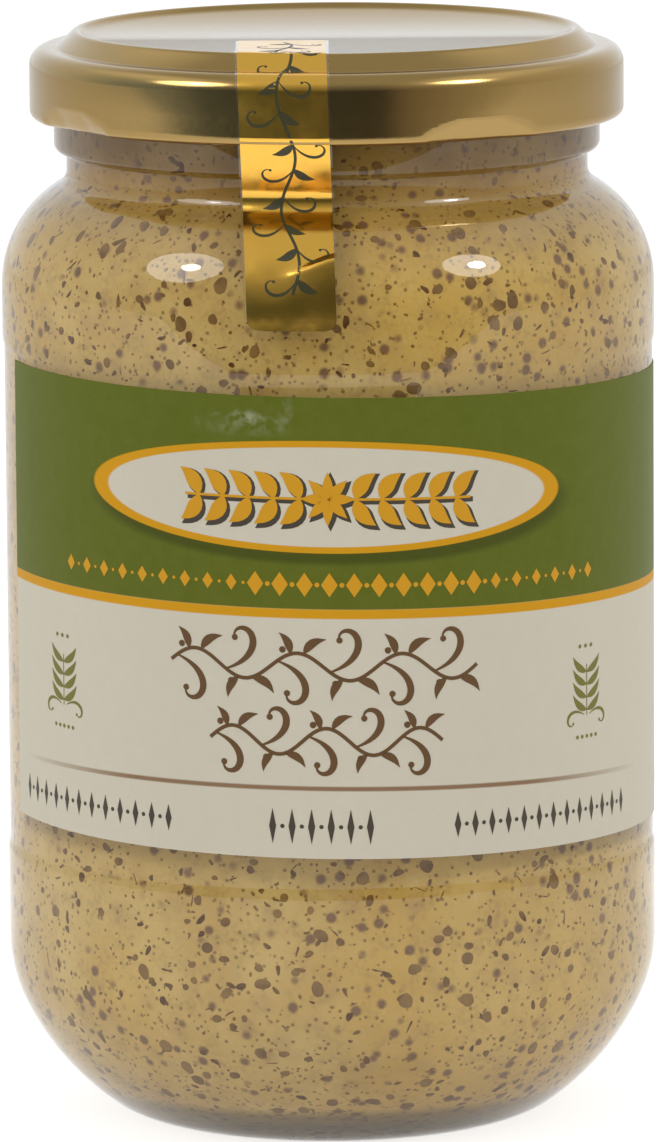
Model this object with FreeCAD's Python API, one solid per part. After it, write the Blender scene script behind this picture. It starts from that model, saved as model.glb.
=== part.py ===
import FreeCAD, Part
import os
from math import acos, asin, atan2, cos, degrees, pi, radians, sin, sqrt, tan

# A round glass jar of mustard with a twist-off metal lid, a wrap-round paper
# label and a tamper strip. Units are millimetres. The origin is the middle of
# the foot, +Z is up, and -Y is the front. Angles run from the front (-Y)
# towards +X.

# Glass body
BODY_R = 37.1
WALL = 2.4
HEEL_UPPER_R = 17.0
HEEL_LOWER_R = 29.9
HEEL_BREAK = radians(25.2)
FOOT_BREAK = radians(54.0)
FOOT_R = 9.0
FOOT_FLAT = 1.2
FOOT_INNER_R = 3.0
PUSH_UP = 3.0
SHOULDER_Z = 95.4
SHOULDER_R = 13.2
NECK_R = 29.6
NECK_FILLET = 2.0
FLOOR_Z = 5.0
FLOOR_RISE = 1.3
INNER_HEEL_R = 14.0

# Finish: the rim part of the glass that the lid screws on to
NECK_HEIGHT = 2.1
NECK_TOP_R = 0.5
FINISH_STEP = 1.4
FINISH_EDGE_R = 0.9
FINISH_HEIGHT = 12.4
RIM_OUTER_R = 3.2
RIM_INNER_R = 0.6
RIDGE_HEIGHT = 1.4
RIDGE_REACH = 1.5
RIDGE_BITE = 0.5
RIDGE_SWEEP = 34.0

# Label panel: the shallow band that the paper lies in, between two raised bands
LOWER_BAND = 11.55
UPPER_BAND = 7.1
PANEL_DEPTH = 0.2
PANEL_MARGIN = 0.3

# Contents
FILL_GAP = 5.0

# Lid
SHEET = 0.25
CURL_R = 0.9
SKIRT_CLEAR = 0.95
SKIRT_LIFT = 3.8
LID_SHOULDER_R = 2.0
RING_INSET = 0.6
BEAD_INSET = 2.7
BEAD_ROUND = 0.8
BEAD_LIFT = 1.9
SEAL_GAP = 1.05
PANEL_SINK = 0.7
PANEL_INSET = 1.3
LUG_COUNT = 4
LUG_ANGLE = 31.0
LUG_HALF_ANGLE = 9.0
LUG_CLEAR = 0.3
LUG_LIFT = 0.3
PRESS_HALF_ANGLE = 12.0
PRESS_TILT = 30.0

# Label
LABEL_THICK = 0.1
LABEL_START = -73.0
LABEL_SWEEP = 328.0
LABEL_TILT = 1.09

# Tamper strip
STRIP_WIDTH = 10.4
STRIP_THICK = 0.12
STRIP_X = -3.95
STRIP_LEAN = 1.9
STRIP_START_Y = 8.4
STRIP_TAIL = 1.9
STRIP_CORNER_R = 1.5
STRIP_STAND = 0.5
STRIP_DIP_R = 2.2

UP = FreeCAD.Vector(0, 0, 1)
CENTRE = FreeCAD.Vector(0, 0, 0)


def at(radius, height):
    """A point of a profile, in the XZ plane."""
    return FreeCAD.Vector(radius, 0, height)


def line(start, end):
    return Part.LineSegment(start, end).toShape()


def arc(centre, radius, start, end):
    """A profile arc round centre. Its angles are in radians, from +X towards +Z."""
    middle = (start + end) / 2
    points = []
    for angle in (start, middle, end):
        points.append(centre + at(radius * cos(angle), radius * sin(angle)))
    return Part.Arc(points[0], points[1], points[2]).toShape()


def end_of(edges):
    """Where the last edge of a path ends."""
    return edges[-1].valueAt(edges[-1].LastParameter)


def spin(edges):
    """The solid that a closed profile sweeps round the axis."""
    face = Part.Face(Part.Wire(edges))
    return face.revolve(CENTRE, UP, 360)


def turned(shape, angle):
    """A copy turned about the axis, from the front towards +X."""
    copy = shape.copy()
    copy.rotate(CENTRE, UP, angle)
    return copy


# The heel: three arcs in a row, tangent where they meet
heel_lower_span = sin(FOOT_BREAK) - sin(HEEL_BREAK)
HEEL_Z = HEEL_UPPER_R * sin(HEEL_BREAK) + HEEL_LOWER_R * heel_lower_span
HEEL_Z = HEEL_Z + FOOT_R * (1 - sin(FOOT_BREAK))
upper_centre = at(BODY_R - HEEL_UPPER_R, HEEL_Z)
lower_shift = HEEL_LOWER_R - HEEL_UPPER_R
lower_centre = upper_centre + at(-lower_shift * cos(HEEL_BREAK), lower_shift * sin(HEEL_BREAK))
foot_shift = HEEL_LOWER_R - FOOT_R
foot_centre = lower_centre + at(foot_shift * cos(FOOT_BREAK), -foot_shift * sin(FOOT_BREAK))

# The shoulder arc, and the concave fillet that leads from it into the neck
shoulder_centre = at(BODY_R - SHOULDER_R, SHOULDER_Z)
fillet_reach = SHOULDER_R + NECK_FILLET
fillet_across = NECK_R + NECK_FILLET - shoulder_centre.x
fillet_rise = sqrt(fillet_reach ** 2 - fillet_across ** 2)
fillet_centre = shoulder_centre + at(fillet_across, fillet_rise)
shoulder_end = atan2(fillet_rise, fillet_across)
BORE_R = NECK_R - WALL
FINISH_R = NECK_R + FINISH_STEP
FINISH_Z = fillet_centre.z + NECK_HEIGHT
RIM_Z = FINISH_Z + FINISH_HEIGHT
FILL_Z = RIM_Z - FILL_GAP

# The label fills its panel: its two far corners lie just inside the panel's edges
PANEL_BOTTOM = HEEL_Z + LOWER_BAND
PANEL_TOP = SHOULDER_Z - UPPER_BAND
label_glass_r = BODY_R - PANEL_DEPTH
label_fall = tan(radians(LABEL_TILT)) * (label_glass_r + LABEL_THICK)
label_drop = label_fall * radians(LABEL_SWEEP)
label_height = PANEL_TOP - PANEL_BOTTOM - 2 * PANEL_MARGIN - label_drop

# Places on the lid, which follow the finish that it closes
LID_R = FINISH_R + RIDGE_REACH + SKIRT_CLEAR + SHEET
LID_Z = FINISH_Z + SKIRT_LIFT
BEAD_Z = RIM_Z + SEAL_GAP + SHEET
RING_Z = BEAD_Z - BEAD_LIFT
TOP_PANEL_Z = BEAD_Z - PANEL_SINK
LUG_TOP = LID_Z + 2 * CURL_R - LUG_CLEAR
STRIP_END_Z = SHOULDER_Z - STRIP_TAIL


def outer_glass():
    """The outside of the glass, from the middle of the foot up to the rim."""
    inner_foot = at(foot_centre.x - FOOT_FLAT, FOOT_INNER_R)
    dome_r = (inner_foot.x ** 2 + PUSH_UP ** 2) / (2 * PUSH_UP) - FOOT_INNER_R
    dome_centre = at(0, PUSH_UP - dome_r)
    dome_angle = asin(inner_foot.x / (dome_r + FOOT_INNER_R))
    edges = [arc(dome_centre, dome_r, pi / 2, pi / 2 - dome_angle)]
    edges.append(arc(inner_foot, FOOT_INNER_R, -pi / 2 - dome_angle, -pi / 2))
    edges.append(line(end_of(edges), at(foot_centre.x, 0)))
    edges.append(arc(foot_centre, FOOT_R, -pi / 2, -FOOT_BREAK))
    edges.append(arc(lower_centre, HEEL_LOWER_R, -FOOT_BREAK, -HEEL_BREAK))
    edges.append(arc(upper_centre, HEEL_UPPER_R, -HEEL_BREAK, 0))
    corners = [
        at(BODY_R, PANEL_BOTTOM - PANEL_DEPTH),
        at(label_glass_r, PANEL_BOTTOM),
        at(label_glass_r, PANEL_TOP),
        at(BODY_R, PANEL_TOP + PANEL_DEPTH),
        at(BODY_R, SHOULDER_Z),
    ]
    for corner in corners:
        edges.append(line(end_of(edges), corner))
    edges.append(arc(shoulder_centre, SHOULDER_R, 0, shoulder_end))
    edges.append(arc(fillet_centre, NECK_FILLET, shoulder_end - pi, -pi))
    neck_top = at(NECK_R + NECK_TOP_R, FINISH_Z - NECK_TOP_R)
    edges.append(line(end_of(edges), at(NECK_R, neck_top.z)))
    edges.append(arc(neck_top, NECK_TOP_R, pi, pi / 2))
    finish_edge = at(FINISH_R - FINISH_EDGE_R, FINISH_Z + FINISH_EDGE_R)
    if finish_edge.x > neck_top.x:
        edges.append(line(end_of(edges), at(finish_edge.x, FINISH_Z)))
    edges.append(arc(finish_edge, FINISH_EDGE_R, -pi / 2, 0))
    rim_centre = at(FINISH_R - RIM_OUTER_R, RIM_Z - RIM_OUTER_R)
    edges.append(line(end_of(edges), at(FINISH_R, rim_centre.z)))
    edges.append(arc(rim_centre, RIM_OUTER_R, 0, pi / 2))
    return edges


def inner_glass(top):
    """The inside of the glass, from the floor's middle up to a height in the bore."""
    heel_centre = at(BODY_R - WALL - INNER_HEEL_R, FLOOR_Z + INNER_HEEL_R)
    floor_r = (heel_centre.x ** 2 + FLOOR_RISE ** 2) / (2 * FLOOR_RISE)
    floor_centre = at(0, FLOOR_Z + FLOOR_RISE - floor_r)
    floor_angle = asin(heel_centre.x / floor_r)
    edges = [arc(floor_centre, floor_r, pi / 2, pi / 2 - floor_angle)]
    edges.append(arc(heel_centre, INNER_HEEL_R, -pi / 2, 0))
    edges.append(line(end_of(edges), at(BODY_R - WALL, SHOULDER_Z)))
    edges.append(arc(shoulder_centre, SHOULDER_R - WALL, 0, shoulder_end))
    edges.append(arc(fillet_centre, NECK_FILLET + WALL, shoulder_end - pi, -pi))
    edges.append(line(end_of(edges), at(BORE_R, top)))
    return edges


def ring_sector(inner_r, outer_r, bottom, top, middle_angle, sweep):
    """A block of a ring, centred on an angle from the front."""
    start = radians(middle_angle - sweep / 2)
    corners = [at(inner_r, bottom), at(outer_r, bottom), at(outer_r, top), at(inner_r, top)]
    outline = Part.makePolygon(corners + corners[:1])
    block = Part.Face(outline).revolve(CENTRE, UP, sweep)
    return turned(block, degrees(start) - 90)


def lug_angles():
    return [LUG_ANGLE + 360.0 / LUG_COUNT * index for index in range(LUG_COUNT)]


def jar():
    """The glass, with the short thread ridges that the lid's lugs grip."""
    rim = at(BORE_R + RIM_INNER_R, RIM_Z - RIM_INNER_R)
    inside = inner_glass(rim.z)
    outside = outer_glass()
    edges = inside + outside
    edges.append(arc(rim, RIM_INNER_R, pi, pi / 2))
    land_start = at(rim.x, RIM_Z)
    land_end = end_of(outside)
    if (land_end - land_start).Length > 1e-6:
        edges.append(line(land_start, land_end))
    edges.append(line(inside[0].valueAt(inside[0].FirstParameter), at(0, PUSH_UP)))
    glass = spin(Part.__sortEdges__(edges))
    bottom = LUG_TOP + LUG_CLEAR
    for angle in lug_angles():
        inner, outer = FINISH_R - RIDGE_BITE, FINISH_R + RIDGE_REACH
        ridge = ring_sector(inner, outer, bottom, bottom + RIDGE_HEIGHT, angle, RIDGE_SWEEP)
        glass = glass.fuse(ridge)
    return glass.removeSplitter()


def mustard():
    """The mustard: all of the inside of the glass, up to a level under the rim."""
    edges = inner_glass(FILL_Z)
    edges.append(line(end_of(edges), at(0, FILL_Z)))
    edges.append(line(at(0, FILL_Z), at(0, FLOOR_Z + FLOOR_RISE)))
    return spin(edges)


def lid_outline(start_r):
    """The lid's outside, from a radius on its flat top out and down to the curl."""
    bead = at(FINISH_R - BEAD_INSET, BEAD_Z - BEAD_ROUND)
    foot_in = at(bead.x - PANEL_INSET, TOP_PANEL_Z)
    foot_out = at(FINISH_R - RING_INSET, RING_Z)
    inner_touch = tangent_angle(bead, BEAD_ROUND, foot_in, 1)
    outer_touch = tangent_angle(bead, BEAD_ROUND, foot_out, -1)
    bead_arc = arc(bead, BEAD_ROUND, inner_touch, outer_touch)
    edges = [line(at(start_r, TOP_PANEL_Z), foot_in)]
    edges.append(line(foot_in, bead_arc.valueAt(bead_arc.FirstParameter)))
    edges.append(bead_arc)
    edges.append(line(end_of(edges), foot_out))
    shoulder = at(LID_R - LID_SHOULDER_R, RING_Z - LID_SHOULDER_R)
    edges.append(line(foot_out, at(shoulder.x, RING_Z)))
    edges.append(arc(shoulder, LID_SHOULDER_R, pi / 2, 0))
    edges.append(line(end_of(edges), at(LID_R, LID_Z + CURL_R)))
    return edges


def tangent_angle(centre, radius, point, side):
    """The angle at which a line from a point touches a circle, on one side of it."""
    away = point - centre
    return atan2(away.z, away.x) - side * acos(radius / away.Length)


def lid():
    """The pressed lid: one sheet, rolled into a curl, with lugs pressed into it."""
    outline = Part.Wire(lid_outline(0))
    sheet = outline.makeOffset2D(-SHEET, join=2, fill=True, openResult=True)
    sheet = sheet.revolve(CENTRE, UP, 360)
    curl = Part.makeTorus(LID_R - CURL_R, CURL_R, at(0, LID_Z + CURL_R))
    body = sheet.fuse(curl)
    depth = LID_R * (1 - cos(radians(PRESS_HALF_ANGLE)))
    for angle in lug_angles():
        inner, outer = FINISH_R + LUG_CLEAR, LID_R - CURL_R
        lug = ring_sector(inner, outer, LID_Z + LUG_LIFT, LUG_TOP, angle, 2 * LUG_HALF_ANGLE)
        body = body.fuse(lug)
    for angle in lug_angles():
        body = body.cut(lug_press(angle, depth))
    return body.removeSplitter()


def lug_press(angle, depth):
    """What the press takes off the curl at one lug: all that lies outside a tilted flat."""
    size = LID_R
    block = Part.makeBox(size, size, size, FreeCAD.Vector(-size / 2, -size, -size / 2))
    block.rotate(CENTRE, FreeCAD.Vector(1, 0, 0), PRESS_TILT)
    block.translate(FreeCAD.Vector(0, -(LID_R - depth), LID_Z + CURL_R - depth))
    return turned(block, angle)


def label():
    """The paper: a band on the glass, a little crooked, that doesn't meet its own start."""
    start = radians((360 - LABEL_SWEEP) / 2)
    sweep = radians(LABEL_SWEEP)
    faces = []
    rims = []
    for radius in (label_glass_r, label_glass_r + LABEL_THICK):
        surface = Part.Cylinder()
        surface.Radius = radius
        corners = [
            FreeCAD.Base.Vector2d(start, 0),
            FreeCAD.Base.Vector2d(start + sweep, -label_drop),
            FreeCAD.Base.Vector2d(start + sweep, label_height - label_drop),
            FreeCAD.Base.Vector2d(start, label_height),
        ]
        rim = []
        for index in range(4):
            side = Part.Geom2d.Line2dSegment(corners[index], corners[(index + 1) % 4])
            rim.append(side.toShape(surface))
        faces.append(Part.Face(surface, Part.Wire(rim)))
        rims.append(rim)
    for inner, outer in zip(rims[0], rims[1]):
        faces.append(Part.makeRuledSurface(inner, outer))
    paper = Part.makeSolid(Part.makeShell(faces))
    paper.translate(at(0, PANEL_TOP - PANEL_MARGIN - label_height))
    return turned(paper, LABEL_START - 90 - degrees(start))


def strip_path():
    """The strip's way: over the lid, down its skirt, into the dip and down the shoulder."""
    edges = lid_outline(STRIP_START_Y / 2)
    skirt_end = end_of(edges)
    dip_across = NECK_R + STRIP_STAND + STRIP_DIP_R - shoulder_centre.x
    dip_rise = sqrt((SHOULDER_R + STRIP_DIP_R) ** 2 - dip_across ** 2)
    dip = shoulder_centre + at(dip_across, dip_rise)
    leave = tangent_angle(dip, STRIP_DIP_R, skirt_end, -1)
    meet = atan2(dip_rise, dip_across)
    dip_arc = arc(dip, STRIP_DIP_R, leave, meet + pi)
    edges.append(line(skirt_end, dip_arc.valueAt(dip_arc.FirstParameter)))
    edges.append(dip_arc)
    edges.append(arc(shoulder_centre, SHOULDER_R, meet, 0))
    edges.append(line(end_of(edges), at(BODY_R, STRIP_END_Z - STRIP_WIDTH)))
    return edges


def seal_strip():
    """The tamper strip: a thin band of even width, laid over the lid and the shoulder."""
    band = Part.Wire(strip_path()).makeOffset2D(STRIP_THICK, join=2, fill=True, openResult=True)
    skin = band.revolve(CENTRE, UP, 360)
    height = BEAD_Z + STRIP_WIDTH - STRIP_END_Z
    low = FreeCAD.Vector(-STRIP_WIDTH / 2, -2 * BODY_R, STRIP_END_Z)
    outline = Part.makeBox(STRIP_WIDTH, 2 * BODY_R - STRIP_START_Y, height, low)
    corners = []
    for edge in outline.Edges:
        middle = edge.CenterOfMass
        if abs(middle.z - STRIP_END_Z) < 1e-6 and abs(abs(middle.x) - STRIP_WIDTH / 2) < 1e-6:
            corners.append(edge)
    outline = outline.makeFillet(STRIP_CORNER_R, corners)
    outline.rotate(at(0, STRIP_END_Z), FreeCAD.Vector(0, 1, 0), -STRIP_LEAN)
    outline.translate(FreeCAD.Vector(STRIP_X, 0, 0))
    return skin.common(outline)


def main():
    os.makedirs("parts", exist_ok=True)
    pieces = {
        "jar": jar(),
        "mustard": mustard(),
        "lid": lid(),
        "label": label(),
        "seal_strip": seal_strip(),
    }
    for node, shape in pieces.items():
        shape.exportStep("parts/" + node + ".step")
        box = shape.BoundBox
        print(node, shape.ShapeType, len(shape.Solids), shape.isValid(), round(shape.Volume, 1),
              round(box.XMin, 2), round(box.XMax, 2), round(box.YMin, 2), round(box.YMax, 2),
              round(box.ZMin, 2), round(box.ZMax, 2))


main()
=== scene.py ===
import math
import random

import bmesh
import bpy
from mathutils import Matrix, Vector


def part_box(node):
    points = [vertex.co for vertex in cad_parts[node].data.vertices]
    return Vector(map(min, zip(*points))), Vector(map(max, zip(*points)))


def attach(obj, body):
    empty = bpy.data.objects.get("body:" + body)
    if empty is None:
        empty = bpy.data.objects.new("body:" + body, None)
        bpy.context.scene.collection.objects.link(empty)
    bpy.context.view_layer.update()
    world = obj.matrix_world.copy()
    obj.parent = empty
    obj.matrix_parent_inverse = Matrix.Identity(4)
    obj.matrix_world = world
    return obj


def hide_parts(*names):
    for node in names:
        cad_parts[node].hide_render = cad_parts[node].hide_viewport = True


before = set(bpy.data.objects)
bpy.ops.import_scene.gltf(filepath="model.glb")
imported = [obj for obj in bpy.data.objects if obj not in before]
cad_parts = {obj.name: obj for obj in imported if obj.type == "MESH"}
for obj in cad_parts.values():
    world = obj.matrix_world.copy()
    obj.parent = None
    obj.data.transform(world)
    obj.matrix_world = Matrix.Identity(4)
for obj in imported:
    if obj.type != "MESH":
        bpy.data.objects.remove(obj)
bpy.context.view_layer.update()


# ---------------------------------------------------------------- Glass jar
# The jar is blown from clear soda-lime glass: a domed heel on a stippled foot
# ring, a straight wall with a shallow panel for the label, a round shoulder
# and a short neck under the rim that the lid screws on to.

MM = 0.001
WHOLE_TURN = math.radians(360)

jar_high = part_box("jar")[1]
label_low, label_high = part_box("label")
body_r = jar_high.x / MM
rim_z = jar_high.z / MM
wall = 2.4
finish_r = 31.0
neck_r = 29.6
finish_z = rim_z - 12.4
shoulder_z = 95.4
shoulder_r = 13.2
neck_fillet = 2.0
lip_round = 0.6
rim_round = 3.2
finish_foot = 0.9
finish_cove = 0.5
panel_depth = 0.2
panel_margin = 0.3
panel_slope = 1.4
panel_low = label_low.z / MM - panel_margin
panel_high = label_high.z / MM + panel_margin
floor_z = 5.0
floor_rise = 1.3
inner_heel_r = 14.0

# Each arc of the heel: its radius, and its start and end in degrees below level.
heel_arcs = [(17.0, 0.0, 25.2), (29.9, 25.2, 54.0), (9.0, 54.0, 90.0)]
foot_flat = 1.2
foot_inner_r = 3.0
foot_edge_z = 0.12
push_up = 3.0
stipples = 56
stipple_height = 0.35
stipple_r = 20.6
stipple_band = 2.2
stipple_top = 1.2
glass_turns = 6 * stipples
glass_tint = (0.975, 0.985, 0.965, 1.0)
glass_index = 1.52

neck_across = neck_r + neck_fillet - (body_r - shoulder_r)
fillet_z = shoulder_z + math.sqrt((shoulder_r + neck_fillet) ** 2 - neck_across ** 2)
shoulder_end = math.degrees(math.atan2(fillet_z - shoulder_z, neck_across))


def arc(centre_r, centre_z, radius, start, end, steps):
    """Points of an outline along an arc, in millimetres and in degrees from outward to up."""
    points = []
    for step in range(steps + 1):
        angle = math.radians(start + (end - start) * step / steps)
        points.append((centre_r + radius * math.cos(angle), centre_z + radius * math.sin(angle)))
    return points


def dome(edge_r, low, rise, steps):
    """Points from the axis out to edge_r, along a shallow dome."""
    radius = (edge_r ** 2 + rise ** 2) / (2 * rise)
    half = math.degrees(math.asin(edge_r / radius))
    return arc(0, low + rise - radius, radius, 90, 90 - half, steps)


def blend(low_r, low_z, high_r, high_z, steps):
    """A soft step in an upright wall from one radius to another."""
    points = []
    for step in range(steps + 1):
        share = step / steps
        swing = 0.5 - 0.5 * math.cos(math.pi * share)
        points.append((low_r + (high_r - low_r) * swing, low_z + (high_z - low_z) * share))
    return points


def outer_side():
    """The outside of the glass from the middle of its foot up to the rim."""
    heel = []
    centre_r, centre_z, last = body_r, 0.0, 0.0
    for radius, start, end in heel_arcs:
        centre_r = centre_r - (radius - last) * math.cos(math.radians(start))
        centre_z = centre_z + (radius - last) * math.sin(math.radians(start))
        heel = arc(centre_r, centre_z, radius, -end, -start, 14) + heel
        last = radius
    drop = heel[0][1]
    foot_r = heel[0][0]
    heel = [(r, z - drop) for r, z in heel]
    ring_in = foot_r - foot_flat - foot_inner_r * math.sin(math.radians(16))
    points = dome(ring_in, foot_edge_z, push_up - foot_edge_z, 10)
    points += arc(foot_r - foot_flat, foot_inner_r, foot_inner_r, -106, -90, 5)
    points += [(foot_r - foot_flat / 2, 0.0)]
    points += heel
    points += blend(body_r, panel_low - panel_slope, body_r - panel_depth, panel_low + 0.1, 8)
    points += blend(body_r - panel_depth, panel_high - 0.1, body_r, panel_high + panel_slope, 8)
    points += arc(body_r - shoulder_r, shoulder_z, shoulder_r, 0, shoulder_end, 22)
    points += arc(neck_r + neck_fillet, fillet_z, neck_fillet, shoulder_end - 180, -180, 8)
    points += arc(neck_r + finish_cove, finish_z - finish_cove, finish_cove, 180, 90, 4)
    points += arc(finish_r - finish_foot, finish_z + finish_foot, finish_foot, -90, 0, 6)
    points += arc(finish_r - rim_round, rim_z - rim_round, rim_round, 0, 90, 10)
    return points


def inner_side(reach, top):
    """The inside of the glass from its floor up, moved reach into the wall."""
    heel_r = body_r - wall - inner_heel_r
    points = dome(heel_r, floor_z - reach, floor_rise, 10)
    points += arc(heel_r, floor_z + inner_heel_r, inner_heel_r + reach, -90, 0, 20)
    points += [(body_r - wall + reach, panel_low), (body_r - wall + reach, panel_high)]
    points += arc(body_r - shoulder_r, shoulder_z, shoulder_r - wall + reach, 0, shoulder_end, 20)
    reached = neck_fillet + wall - reach
    points += arc(neck_r + neck_fillet, fillet_z, reached, shoulder_end - 180, -180, 10)
    points += [(neck_r - wall + reach, top)]
    return points


def spun(bm, outline, turns):
    """Spins an outline, in millimetres, round the jar's axis into a skin."""
    corners = [bm.verts.new((r * MM, 0, z * MM)) for r, z in outline]
    sides = [bm.edges.new(pair) for pair in zip(corners, corners[1:])]
    bmesh.ops.spin(bm, geom=corners + sides, cent=(0, 0, 0), axis=(0, 0, 1),
                   angle=WHOLE_TURN, steps=turns, use_merge=True)
    bmesh.ops.remove_doubles(bm, verts=bm.verts, dist=1e-7)
    bmesh.ops.dissolve_degenerate(bm, edges=bm.edges, dist=1e-8)
    bmesh.ops.recalc_face_normals(bm, faces=bm.faces)


def settled(name, bm, material, slot_name, *nodes):
    """Makes a piece of a bmesh, smooth, fixed to the jar, in place of CAD nodes."""
    mesh = bpy.data.meshes.new(name)
    bm.to_mesh(mesh)
    bm.free()
    mesh.shade_smooth()
    piece = bpy.data.objects.new(name, mesh)
    bpy.context.scene.collection.objects.link(piece)
    mesh.materials.append(material)
    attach(piece, "root")
    if nodes:
        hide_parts(*nodes)
    return piece


def colour(red, green, blue):
    """A display colour, 0 to 255, as a shader takes it."""
    levels = []
    for value in (red, green, blue):
        level = value / 255
        levels.append(level / 12.92 if level <= 0.04045 else ((level + 0.055) / 1.055) ** 2.4)
    return (*levels, 1.0)


def new_material(name):
    """An empty material, its nodes and its links."""
    material = bpy.data.materials.new(name)
    material.use_nodes = True
    nodes = material.node_tree.nodes
    nodes.clear()
    return material, nodes, material.node_tree.links


def clear_material(name, tint, roughness, index):
    """Clear glass or film. Lamps and soft light pass it unbent, to reach what it covers."""
    material, nodes, links = new_material(name)
    path = nodes.new("ShaderNodeLightPath")
    body = nodes.new("ShaderNodeBsdfPrincipled")
    body.inputs["Base Color"].default_value = tint
    body.inputs["Roughness"].default_value = roughness
    body.inputs["IOR"].default_value = index
    body.inputs["Transmission Weight"].default_value = 1.0
    shadows = nodes.new("ShaderNodeMixShader")
    soft = nodes.new("ShaderNodeMixShader")
    clear = nodes.new("ShaderNodeBsdfTransparent")
    output = nodes.new("ShaderNodeOutputMaterial")
    links.new(path.outputs["Is Shadow Ray"], shadows.inputs[0])
    links.new(body.outputs[0], shadows.inputs[1])
    links.new(clear.outputs[0], shadows.inputs[2])
    links.new(path.outputs["Is Diffuse Ray"], soft.inputs[0])
    links.new(shadows.outputs[0], soft.inputs[1])
    links.new(clear.outputs[0], soft.inputs[2])
    links.new(soft.outputs[0], output.inputs["Surface"])
    return material


bm = bmesh.new()
glass_outline = outer_side()
glass_outline += arc(neck_r - wall + lip_round, rim_z - lip_round, lip_round, 90, 180, 5)
glass_outline += inner_side(0, rim_z - lip_round)[::-1]
spun(bm, glass_outline, glass_turns)
for vert in bm.verts:
    radius, height = math.hypot(vert.co.x, vert.co.y) / MM, vert.co.z / MM
    on_ring = max(0.0, 1 - abs(radius - stipple_r) / stipple_band)
    if height < stipple_top and on_ring > 0:
        wave = 0.5 - 0.5 * math.cos(stipples * math.atan2(vert.co.y, vert.co.x))
        vert.co.z += stipple_height * MM * wave * min(1.0, 2 * on_ring)
jar_glass = clear_material("jar_glass", glass_tint, 0.0, glass_index)
settled("jar_glass", bm, jar_glass, "clear_glass", "jar")


# ------------------------------------------------------------------ Mustard
# Wholegrain mustard: a pale grainy paste that fills the jar to just under the
# rim. It wets the glass, so its skin lies a hair inside the wall.

wetting = 0.06
fill_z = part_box("mustard")[1].z / MM
top_round = 1.0
top_dish = 0.2
paste_turns = 144

# Heights in metres: where the paste turns browner in the neck, and where it turns to a painted shade
# along its sole.
neck_tone_from, neck_tone_to = 0.0995, 0.1105
sole_shade_from, sole_shade_to = 0.0061, 0.0054

paste_light = colour(210, 178, 108)
paste_deep = colour(194, 158, 86)
paste_ochre = colour(204, 162, 66)
paste_neck_tone = colour(142, 102, 28)
# Painted shade for the paste along its sole.
painted_sole_shade = colour(112, 94, 44)
seed_stain = colour(160, 124, 92)
grain_dark = colour(146, 116, 66)
grain_pale = colour(214, 192, 140)
husk_purple = colour(114, 80, 58)
speck_brown = colour(112, 82, 40)


def grain_group():
    """A fine grain that more than one finish uses: two sizes of noise, added up."""
    group = bpy.data.node_groups.new("fine_grain", "ShaderNodeTree")
    face = group.interface
    face.new_socket("Vector", in_out="INPUT", socket_type="NodeSocketVector")
    face.new_socket("Scale", in_out="INPUT", socket_type="NodeSocketFloat")
    face.new_socket("Coarse", in_out="INPUT", socket_type="NodeSocketFloat")
    face.new_socket("Grain", in_out="OUTPUT", socket_type="NodeSocketFloat")
    nodes, links = group.nodes, group.links
    source = nodes.new("NodeGroupInput")
    output = nodes.new("NodeGroupOutput")
    fine = nodes.new("ShaderNodeTexNoise")
    fine.inputs["Detail"].default_value = 3.0
    slow = nodes.new("ShaderNodeTexNoise")
    slow.inputs["Detail"].default_value = 1.0
    lower = nodes.new("ShaderNodeMath")
    lower.operation = "MULTIPLY"
    lower.inputs[1].default_value = 0.22
    blend = nodes.new("ShaderNodeMix")
    links.new(source.outputs["Vector"], fine.inputs["Vector"])
    links.new(source.outputs["Vector"], slow.inputs["Vector"])
    links.new(source.outputs["Scale"], fine.inputs["Scale"])
    links.new(source.outputs["Scale"], lower.inputs[0])
    links.new(lower.outputs[0], slow.inputs["Scale"])
    links.new(source.outputs["Coarse"], blend.inputs["Factor"])
    links.new(fine.outputs["Fac"], blend.inputs["A"])
    links.new(slow.outputs["Fac"], blend.inputs["B"])
    links.new(blend.outputs["Result"], output.inputs["Grain"])
    return group


fine_grain = grain_group()


def grain_node(nodes, links, vector, scale, coarse):
    """Places the fine grain in a material."""
    node = nodes.new("ShaderNodeGroup")
    node.node_tree = fine_grain
    node.inputs["Scale"].default_value = scale
    node.inputs["Coarse"].default_value = coarse
    links.new(vector, node.inputs["Vector"])
    return node.outputs["Grain"]


def spread(nodes, links, value, low, high, start=0.0, end=1.0):
    """Spreads a value from one range to another, and stops at the ends."""
    node = nodes.new("ShaderNodeMapRange")
    node.inputs["From Min"].default_value = low
    node.inputs["From Max"].default_value = high
    node.inputs["To Min"].default_value = start
    node.inputs["To Max"].default_value = end
    links.new(value, node.inputs["Value"])
    return node.outputs["Result"]


def tinted(nodes, links, mask, under, over):
    """Lays a colour over another by a mask. Each is a fixed colour or a socket."""
    node = nodes.new("ShaderNodeMix")
    node.data_type = "RGBA"
    links.new(mask, node.inputs["Factor"])
    for socket, value in (("A", under), ("B", over)):
        place = [entry for entry in node.inputs if entry.name == socket and entry.type == "RGBA"][0]
        if isinstance(value, tuple):
            place.default_value = value
        else:
            links.new(value, place)
    return [entry for entry in node.outputs if entry.type == "RGBA"][0]


def calc(nodes, links, operation, first, second=0.0):
    """A sum, product or the like of two values. Each is a number or a socket."""
    node = nodes.new("ShaderNodeMath")
    node.operation = operation
    for place, value in zip(node.inputs, (first, second)):
        if isinstance(value, (int, float)):
            place.default_value = value
        else:
            links.new(value, place)
    return node.outputs[0]


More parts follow.
